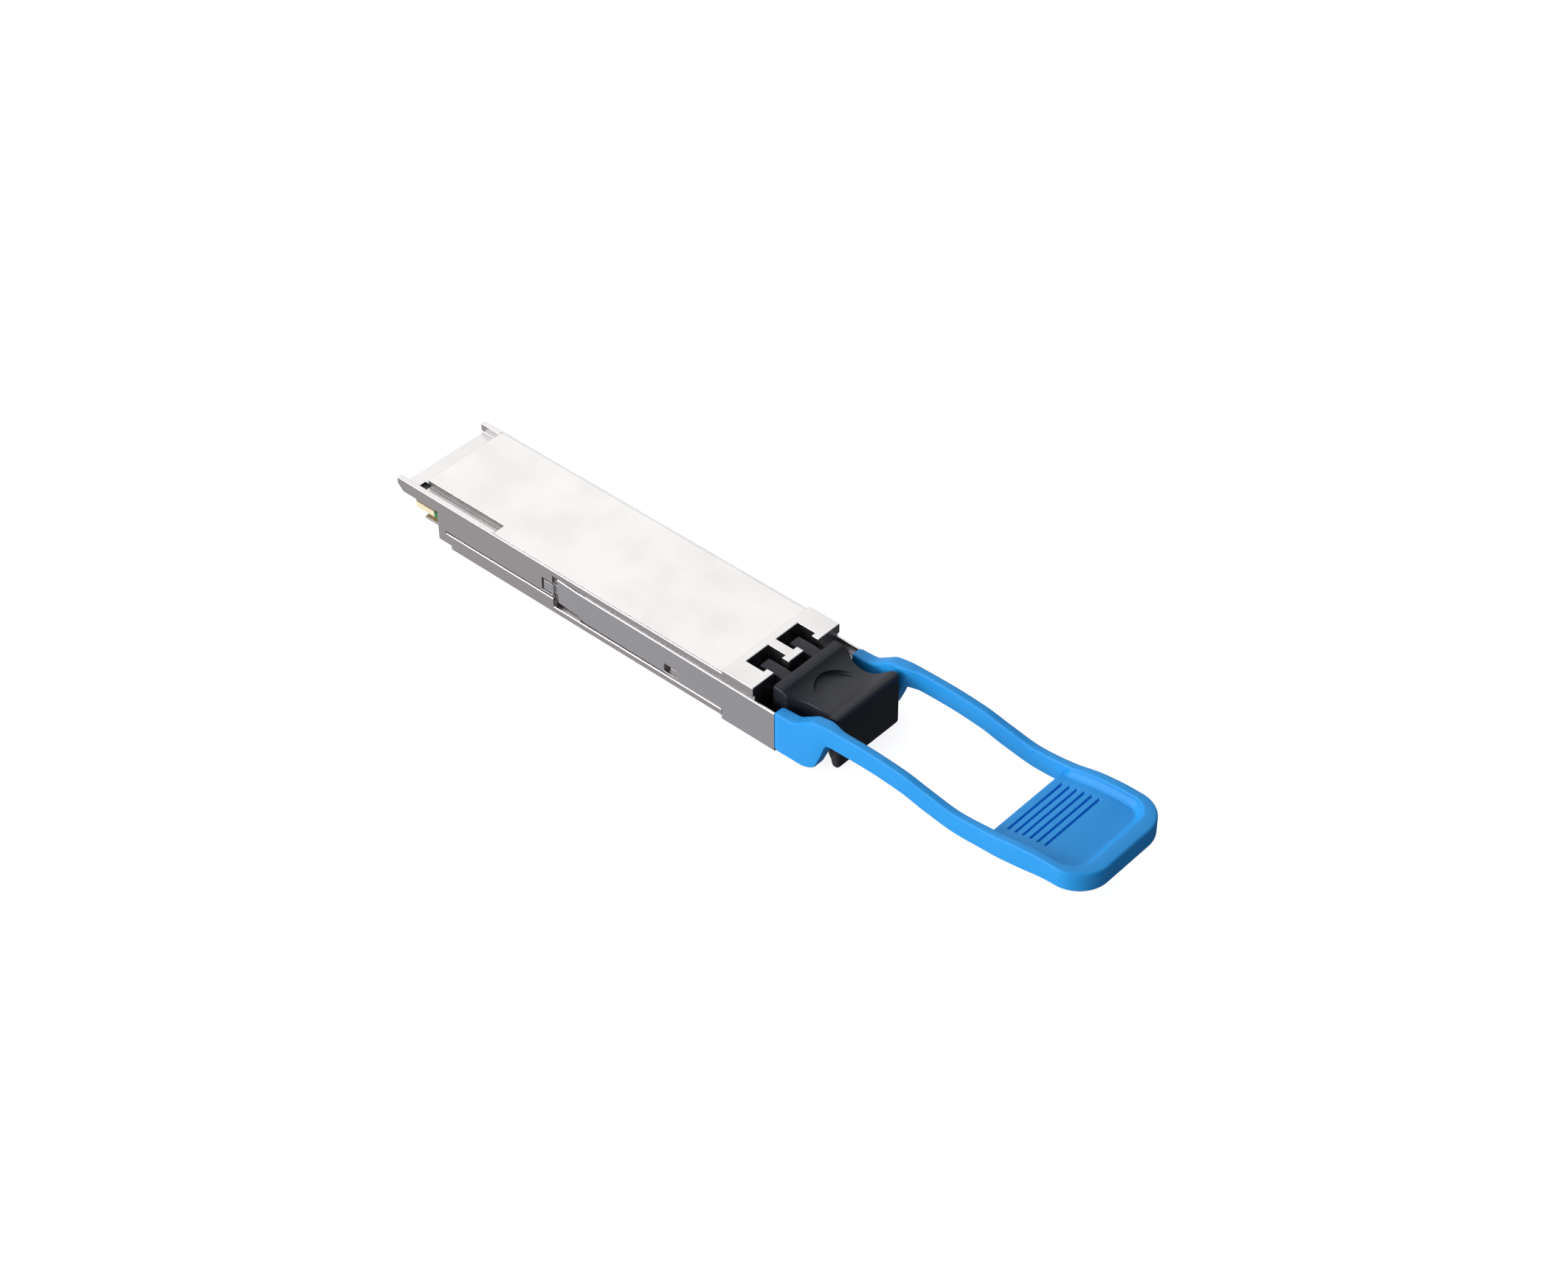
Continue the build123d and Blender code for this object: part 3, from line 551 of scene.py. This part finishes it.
# %% Smooth line through a few points
def smooth_line(points):
    """Monotone curve through (distance, level) points, as a function of the distance."""
    places = [place for place, level in points]
    levels = [level for place, level in points]
    steps = [after - before for before, after in zip(places, places[1:])]
    slopes = [(after - before) / step for before, after, step in zip(levels, levels[1:], steps)]
    leans = [slopes[0]]
    for before, after in zip(slopes, slopes[1:]):
        # a turning point stays a turning point, so the line never overshoots
        leans.append(0.0 if before * after <= 0 else 2 * before * after / (before + after))
    leans.append(slopes[-1])

    def level_at(place):
        place = min(max(place, places[0]), places[-1])
        index = max(i for i in range(len(steps)) if places[i] <= place)
        step = steps[index]
        share = (place - places[index]) / step
        rise = share * share * (3 - 2 * share)
        return (levels[index] * (1 - rise) + levels[index + 1] * rise
                + step * share * (1 - share) ** 2 * leans[index]
                - step * share * share * (1 - share) * leans[index + 1])

    return level_at


tab_rear, tab_front = 75.45, 129.8
tab_half_width, rim_half_width = 9.45, 8.05
tab_top = smooth_line([
    (tab_rear, 7.0), (78.6, 7.2), (80.4, 8.2), (82.6, 9.5), (86, 10.0), (92, 10.1), (98, 9.8),
    (102.5, 9.05), (108, 8.3), (113.5, 8.75), (118.5, 9.7), (123, 10.1), (tab_front, 10.1),
])
tab_bottom = smooth_line([
    (tab_rear, 0.0), (80.2, 0.05), (81.4, 0.35), (82.7, 1.2), (83.7, 3.3), (85, 6.4), (86, 6.6), (92, 6.7),
    (98, 6.35), (102.5, 5.5), (108, 4.85), (113.5, 5.15), (118.5, 5.95), (124, 6.8), (tab_front, 6.9),
])
tab_outer = smooth_line([(tab_rear, 9.2), (111, 9.2), (119, tab_half_width), (tab_front, tab_half_width)])
tab_inner = smooth_line([
    (tab_rear, 7.2), (84.2, 7.2), (87.8, 7.9), (112, 7.9), (117, rim_half_width), (tab_front, rim_half_width),
])
print("strap thickness at its lowest dip:", round(tab_top(108) - tab_bottom(108), 2), "mm")

# %% [markdown]
# ### Tools for meshes
#
# A mesh is a list of points and a list of faces. Most pieces here are lofts: rings of equally many points,
# skinned with four-sided faces and closed by a flat face at each end. Where lofts meet, a boolean makes one
# closed skin of them. Counting the edges that don't have two faces shows whether anything was left open.

# %% Mesh helpers
def smooth_step(value):
    """Ease from 0 to 1, flat at both ends."""
    value = min(max(value, 0.0), 1.0)
    return value * value * (3 - 2 * value)


def mesh_piece(name, points, faces):
    """Object from points in scene metres, with its faces turned outwards."""
    mesh = bpy.data.meshes.new(name)
    mesh.from_pydata(points, [], faces)
    work = bmesh.new()
    work.from_mesh(mesh)
    bmesh.ops.recalc_face_normals(work, faces=work.faces)
    work.to_mesh(mesh)
    work.free()
    return link(bpy.data.objects.new(name, mesh))


def loft(name, rings):
    """Closed skin over rings of equally many points, with flat ends."""
    count = len(rings[0])
    faces = [tuple(range(count)), tuple((len(rings) - 1) * count + i for i in range(count))]
    for ring in range(len(rings) - 1):
        for i in range(count):
            j = (i + 1) % count
            faces.append((ring * count + i, ring * count + j, (ring + 1) * count + j, (ring + 1) * count + i))
    return mesh_piece(name, [point for ring in rings for point in ring], faces)


def rounded_outline(radius, steps=5):
    """Corners of a rounded bar: (outer?, top?, inset sideways, inset in height) going round once."""
    outline = []
    for outer, top, first_turn in ((1, 0, -90), (1, 1, 0), (0, 1, 90), (0, 0, 180)):
        for step in range(steps + 1):
            turn = math.radians(first_turn + 90 * step / steps)
            insets = [radius * (1 - abs(math.cos(turn))), radius * (1 - abs(math.sin(turn)))]
            outline.append((outer, top, *insets))
    return outline


def finish_piece(piece, material, sharp=35.0):
    """Give a piece its material and smooth shading that keeps its real corners."""
    piece.data.materials.clear()
    piece.data.materials.append(material)
    piece.data.polygons.foreach_set("use_smooth", [True] * len(piece.data.polygons))
    piece.data.set_sharp_from_angle(angle=math.radians(sharp))
    piece.data.update()
    return piece


def combined(first, operation, *others):
    """Join overlapping pieces (UNION) or cut them away (DIFFERENCE), leaving one closed skin."""
    for other in others:
        step = first.modifiers.new(operation, "BOOLEAN")
        step.operation = operation
        step.solver = "EXACT"
        step.object = other
    graph = bpy.context.evaluated_depsgraph_get()
    joined = bpy.data.meshes.new_from_object(first.evaluated_get(graph))
    first.modifiers.clear()
    first.data = joined
    for other in others:
        bpy.data.objects.remove(other)
    return first


def open_edges(piece):
    """How many edges don't have exactly two faces; a closed skin has none."""
    work = bmesh.new()
    work.from_mesh(piece.data)
    count = sum(len(edge.link_faces) != 2 for edge in work.edges)
    work.free()
    return count


# %% Bar of the pull tab
tab_edge, foot_inset = 0.36, 0.12
rim_front = 127.4
outer_corner, inner_corner, corner_steps = 5.0, 3.2, 16
# first place, spacing and number of the rings: the foot, its bend up into the strap, and the strap
leg_stretches = [(tab_rear, 0.45, 9), (79.5, 0.14, 50), (86.5, 0.62, 61)]


def tab_ring(outer, inner, inset=0.0):
    """Ring of the bar between two plan points (distance, y)."""
    ring = []
    span = math.dist(outer, inner)
    for is_outer, is_top, sideways, upright in rounded_outline(tab_edge):
        share = (inset + sideways * (1 - inset)) / span
        share = 1 - share if is_outer else share
        distance = inner[0] + (outer[0] - inner[0]) * share
        y = inner[1] + (outer[1] - inner[1]) * share
        edge = upright + inset
        level = tab_top(distance) - edge if is_top else tab_bottom(distance) + edge
        ring.append((at(distance), y * MM, up(level)))
    return ring


def leg_places():
    """Distances of the rings along one leg, closest together where the foot bends up."""
    return [first + spacing * step for first, spacing, count in leg_stretches for step in range(count)]


side_rings = []
for distance in leg_places():
    inset = foot_inset if distance == tab_rear else 0.0
    side_rings.append(((distance, tab_outer(distance)), (distance, tab_inner(distance)), inset))
for step in range(corner_steps + 1):
    turn = math.radians(90 * step / corner_steps)
    forward, sideways = 1 - math.sin(turn), 1 - math.cos(turn)
    outer = (tab_front - outer_corner * forward, tab_half_width - outer_corner * sideways)
    inner = (rim_front - inner_corner * forward, rim_half_width - inner_corner * sideways)
    side_rings.append((outer, inner, 0.0))
mirrored = [((outer[0], -outer[1]), (inner[0], -inner[1]), inset)
            for outer, inner, inset in reversed(side_rings)]
pull_tab = loft("pull_tab_moulding", [tab_ring(*ring) for ring in side_rings + mirrored])
print("bar of the tab:", len(pull_tab.data.vertices), "points,", open_edges(pull_tab), "open edges")

# %% Finger plate
plate_rear, plate_reach, plate_bedding = 112.6, 127.9, 0.5
plate_edge, plate_lift = 0.3, 0.9
plate_depth, slope_width, slope_foot = 1.2, 0.95, 0.28
slope_rear, slope_run, slope_share = 112.9, 1.2, 0.6
groove_first, groove_pitch, groove_count = 114.2, 1.24, 6
groove_half_width, groove_half_length, groove_depth = 0.22, 5.95, 0.42
groove_flank, groove_end = 0.1, 0.2


def rim_distance(distance, y):
    """How far a plan point lies inside the rim's inner outline."""
    side = abs(y) - (rim_half_width - inner_corner)
    front = distance - (rim_front - inner_corner)
    outside = math.hypot(max(side, 0.0), max(front, 0.0))
    return inner_corner - outside if max(side, front) > 0 else inner_corner - max(side, front)


def plate_half_width(distance):
    """Half-width of the plate with the part that is let into the bar."""
    bedded = inner_corner + plate_bedding
    front = distance - (rim_front - inner_corner)
    reach = bedded if front <= 0 else math.sqrt(max(bedded ** 2 - front ** 2, 0.0))
    return rim_half_width - inner_corner + reach


def groove_cut(distance, y):
    """Depth of the finger grooves at a place."""
    nearest = min(abs(distance - groove_first - groove_pitch * index) for index in range(groove_count))
    across = smooth_step((groove_half_width - nearest) / groove_flank)
    along = smooth_step((groove_half_length - abs(y)) / groove_end)
    return groove_depth * across * along


def plate_levels(distance, y):
    """Bottom and top of the plate at a place."""
    inside = rim_distance(distance, y)
    fade = smooth_step((distance - slope_rear) / slope_run)
    slope = (1 - smooth_step(inside / slope_width)) * (plate_depth - slope_foot) * fade
    # the rear edge of the plate is rounded
    into = max(plate_edge - (distance - plate_rear), 0.0)
    edge = plate_edge - math.sqrt(max(plate_edge ** 2 - into ** 2, 0.0))
    top = tab_top(distance) - plate_depth + slope - groove_cut(distance, y) - edge
    bottom = tab_bottom(distance) + plate_lift - slope_share * slope + edge
    return bottom, top


# rows lie close together over the rounded rear edge and over the flanks of each groove
edge_shifts = (0.0, 0.02, 0.08, 0.17, 0.3, 0.6, 0.95, 1.15)
groove_shifts = (-0.24, -0.2, -0.16, -0.12, 0.0, 0.12, 0.16, 0.2, 0.24, 0.43, 0.62, 0.81)
rows = [plate_rear + shift for shift in edge_shifts]
for index in range(groove_count):
    rows += [groove_first + groove_pitch * index + shift for shift in groove_shifts]
rows += [rows[-1] + 0.19 + 0.25 * step for step in range(24)]
rows += [rows[-1] + (plate_reach - rows[-1]) * step / 8 for step in range(1, 9)]
half_columns = 42
columns = [step / half_columns for step in range(-half_columns, half_columns + 1)]
points = []
for row in rows:
    reach = plate_half_width(row)
    for column in columns:
        bottom, top = plate_levels(row, column * reach)
        points += [(at(row), column * reach * MM, up(bottom)), (at(row), column * reach * MM, up(top))]
wide = len(columns)
faces = []
for r in range(len(rows) - 1):
    for c in range(wide - 1):
        corners = [r * wide + c, r * wide + c + 1, (r + 1) * wide + c + 1, (r + 1) * wide + c]
        faces.append(tuple(2 * corner + 1 for corner in corners))
        faces.append(tuple(2 * corner for corner in reversed(corners)))
rim_walk = list(range(wide)) + [(r + 1) * wide - 1 for r in range(1, len(rows))]
rim_walk += [(len(rows) - 1) * wide + c for c in range(wide - 2, -1, -1)]
rim_walk += [r * wide for r in range(len(rows) - 2, 0, -1)]
for first, second in zip(rim_walk, rim_walk[1:] + rim_walk[:1]):
    faces.append((2 * first, 2 * second, 2 * second + 1, 2 * first + 1))
plate = mesh_piece("finger_plate", points, faces)
print("finger plate:", len(plate.data.vertices), "points,", open_edges(plate), "open edges")

# %% Join the tab
pull_tab = combined(pull_tab, "UNION", plate)
finish_piece(pull_tab, tab_finish, 32.0)
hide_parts("pull_tab")
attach(pull_tab, "latch")
print("pull tab:", len(pull_tab.data.polygons), "faces,", open_edges(pull_tab), "open edges")

# %% [markdown]
# ## Dust plug
#
# The plug is soft black rubber. Two hollow prongs fill the fibre ports, a crossbar stops it at the nose, two
# tongues reach back through the slots in the roof, and a saddle with a pulled-in waist and a round thumb rest
# gives fingers a hold. It is lofted from rounded sections like the tab. The thumb rest and the bores of the
# prongs are cut afterwards, because a cut leaves the crisp rim that moulded rubber has there. The cutter for
# the thumb rest is rounded at its foot, so the floor meets the wall in a small fillet.

# %% Shape of the plug
plug_rear, bar_front, plug_front = 72.8, 74.6, 85.0
bar_level = 8.75
waist_place, waist_half_width, plug_half_width, waist_reach = 79.4, 5.15, 6.55, 4.0
port_offset = 3.125
saddle = smooth_line([
    (bar_front, bar_level), (75.3, 8.42), (76.5, 8.12), (78, 7.94), (79.4, 7.9), (80.8, 8.06), (82.1, 8.5),
    (83.2, 9.12), (84.0, 9.4), (plug_front, 9.4),
])
plug_bottom = smooth_line([(plug_rear, 1.7), (83.5, 1.7), (84.0, 0.35), (plug_front, 0.35)])
waist_bite = plug_half_width - waist_half_width
waist_radius = (waist_reach ** 2 + waist_bite ** 2) / (2 * waist_bite)
plug_edge = 0.34


def plug_width(distance):
    """Half-width of the plug, pulled in along an arc at the waist."""
    away = abs(distance - waist_place)
    if away >= waist_reach:
        return plug_half_width
    return waist_half_width + waist_radius - math.sqrt(waist_radius ** 2 - away ** 2)


def bar_ring(distance, middle, half_width, low, high, radius, inset=0.0):
    """Rounded section across the module, round a middle y."""
    ring = []
    for is_right, is_top, sideways, upright in rounded_outline(radius):
        y = middle + (1 if is_right else -1) * (half_width - inset - sideways)
        level = high - inset - upright if is_top else low + inset + upright
        ring.append((at(distance), y * MM, up(level)))
    return ring


def rounded_end(place, into, radius):
    """Places and insets of the rings that round an end off; into is +1 or -1."""
    turns = [math.radians(90 * step / 4) for step in range(5)]
    return [(place + into * radius * (1 - math.cos(turn)), radius * (1 - math.sin(turn))) for turn in turns]


# %% Body of the plug
body_places = rounded_end(plug_rear, 1, 0.28) + [(distance, 0.0) for distance in (73.6, bar_front - 0.001)]
body_places += [(bar_front + 0.02 + 0.2 * step, 0.0) for step in range(49)]
body_places += [(distance, inset) for distance, inset in reversed(rounded_end(plug_front, -1, 0.5))]
plug_rings = []
for distance, inset in body_places:
    roof = bar_level if distance < bar_front else saddle(distance)
    floor_level = plug_bottom(distance)
    plug_rings.append(bar_ring(distance, 0.0, plug_width(distance), floor_level, roof, plug_edge, inset))
plug = loft("dust_plug_moulding", plug_rings)
print("body of the plug:", len(plug.data.vertices), "points,", open_edges(plug), "open edges")

# %% Prongs and tongues
arm_root = 73.3


def plug_arm(name, rear, end_radius, *section):
    """Bar with a rounded rear end that is rooted in the crossbar; its section is as for bar_ring."""
    places = rounded_end(rear, 1, end_radius) + [(arm_root, 0.0)]
    return loft(name, [bar_ring(distance, *section, inset) for distance, inset in places])


plug_arms = []
for side in (-1, 1):
    middle = side * port_offset
    plug_arms.append(plug_arm(f"prong_{side}", 66.9, 0.3, middle, 2.15, 2.1, 6.5, 0.5))
    plug_arms.append(plug_arm(f"tongue_{side}", 68.1, 0.25, middle, 1.05, 6.2, 8.2, 0.22))
plug = combined(plug, "UNION", *plug_arms)


# %% Cut the bores and the thumb rest
thumb_place, thumb_radius, thumb_fillet, thumb_depth = 79.3, 3.5, 0.2, 0.6
thumb_lip, thumb_brow, thumb_run = 0.06, 81.2, 4.6
thumb_eye, thumb_rings, fillet_rings = 0.02, 16, 4
bore_level = 4.25
bore_places = [(66.5, 1.7), (70.35, 1.7), (70.6, 1.45)]  # distance and radius
ring_turns = [math.tau * step / 90 for step in range(90)]


def bore_ring(place, y, radius):
    """Circle that stands across the module at a prong."""
    return [(at(place), (y + radius * math.cos(turn)) * MM, up(bore_level + radius * math.sin(turn)))
            for turn in ring_turns]


def thumb_ring(radius, lift):
    """Circle on the floor of the thumb rest, which rises to meet the saddle in front."""
    ring = []
    for turn in ring_turns:
        distance = thumb_place + radius * math.cos(turn)
        sunk = (thumb_depth + thumb_lip) * smooth_step((thumb_brow - distance) / thumb_run)
        level = saddle(distance) + thumb_lip - sunk + lift
        ring.append((at(distance), radius * math.sin(turn) * MM, up(level)))
    return ring


cutters = []
for side in (-1, 1):
    rings = [bore_ring(place, side * port_offset, radius) for place, radius in bore_places]
    cutters.append(loft(f"bore_{side}", rings))
flat_radius = thumb_radius - thumb_fillet
rings = [thumb_ring(thumb_eye + (flat_radius - thumb_eye) * step / thumb_rings, 0.0)
         for step in range(thumb_rings)]
for turn in [math.radians(90 * step / fillet_rings) for step in range(fillet_rings + 1)]:
    rings.append(thumb_ring(flat_radius + thumb_fillet * math.sin(turn), thumb_fillet * (1 - math.cos(turn))))
rings.append(thumb_ring(thumb_radius + 0.05, 3.0))
cutters.append(loft("thumb_cut", rings))
plug = combined(plug, "DIFFERENCE", *cutters)
finish_piece(plug, plug_finish, 30.0)
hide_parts("dust_plug")
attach(plug, "plug")
print("dust plug:", len(plug.data.polygons), "faces,", open_edges(plug), "open edges")

# %% [markdown]
# ## Return springs
#
# Two coil springs push the latch back. A rigid coil would be cut by the latch's lugs as it slides. Each coil
# here is a fresh mesh that takes the place of the CAD node.

# %% Return springs
spring_start, spring_length, spring_turns = 58.25, 5.0, 7
spring_middle, spring_level = 7.85, 5.2
coil_radius, wire_radius = 0.59, 0.11
rings_per_turn, points_per_ring = 24, 10


def coil_spring(name, middle):
    """Coil along the module, round a middle y."""
    rings = []
    for step in range(rings_per_turn * spring_turns + 1):
        share = step / (rings_per_turn * spring_turns)
        turn = math.tau * spring_turns * share
        outwards = Vector((0.0, math.cos(turn), math.sin(turn)))
        centre = Vector((spring_start + spring_length * share, middle, spring_level)) + coil_radius * outwards
        swept = math.tau * spring_turns * coil_radius
        along = Vector((spring_length, -swept * math.sin(turn), swept * math.cos(turn))).normalized()
        across = along.cross(outwards)
        ring = []
        for corner in range(points_per_ring):
            angle = math.tau * corner / points_per_ring
            point = centre + wire_radius * (math.cos(angle) * outwards + math.sin(angle) * across)
            ring.append((at(point.x), point.y * MM, up(point.z)))
        rings.append(ring)
    return loft(name, rings)


for side, node in ((1, "return_spring_left"), (-1, "return_spring_right")):
    coil = coil_spring(node + "_coil", side * spring_middle)
    finish_piece(coil, spring_finish, 60.0)
    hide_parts(node)
    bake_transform(coil)
    print(coil.name, len(coil.data.polygons), "faces,", open_edges(coil), "open edges")

# %% [markdown]
# ## Corner shade block
#
# The roof ledge has a small open corner behind the slot. A black block lies under it as painted shade, so
# the corner looks dark and light doesn't fall through. It is a plain block, hung just below the ledge.

# %% Corner shade block
shade_block_levels = (6.5, 6.72)
shade_block_rear, shade_block_front, shade_block_outer, shade_block_inner = 2.3, 4.4, -7.7, -5.7
shade_block_outline = [(shade_block_rear, shade_block_outer), (shade_block_front, shade_block_outer), (shade_block_front, shade_block_inner),
                (shade_block_rear, shade_block_inner)]
shade_block_rings = [[(at(distance), y * MM, up(level)) for distance, y in shade_block_outline] for level in shade_block_levels]
# painted shade: a black block that darkens the open corner
corner_shade_block = loft("corner_shade_block", shade_block_rings)
finish_piece(corner_shade_block, chip_finish)
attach(corner_shade_block, "housing")
print("corner seal:", len(corner_shade_block.data.polygons), "faces")

# %% [markdown]
# ## Dress the CAD pieces
#
# Every node brings its material slot from the model, so one table from slot to finish dresses them all.
# Reading the slots from the nodes keeps the table short and catches a node that nobody thought of.

# %% Dress the CAD pieces
finish_for_slot = {
    "cast_shell": cast_finish,
    "plated_cover": cover_finish,
    "latch_steel": latch_finish,
    "tab_plastic": tab_finish,
    "plug_rubber": plug_finish,
    "board_laminate": laminate_finish,
    "contact_gold": gold_finish,
    "chip_black": chip_finish,
    "can_metal": can_finish,
    "ferrite_grey": ferrite_finish,
    "ceramic_tan": ceramic_finish,
    "pad_silicone": silicone_finish,
    "package_gold": package_finish,
    "receptacle_steel": steel_finish,
    "zirconia": zirconia_finish,
    "flex_film": film_finish,
    "gasket_foam": foam_finish,
    "screw_steel": screw_finish,
    "spring_steel": spring_finish,
}
for name, node in sorted(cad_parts.items()):
    slot = node.data.materials[0].name.split(".")[0]
    node.material_slots[0].material = finish_for_slot[slot]
    print(f"{name}: {finish_for_slot[slot].name}")
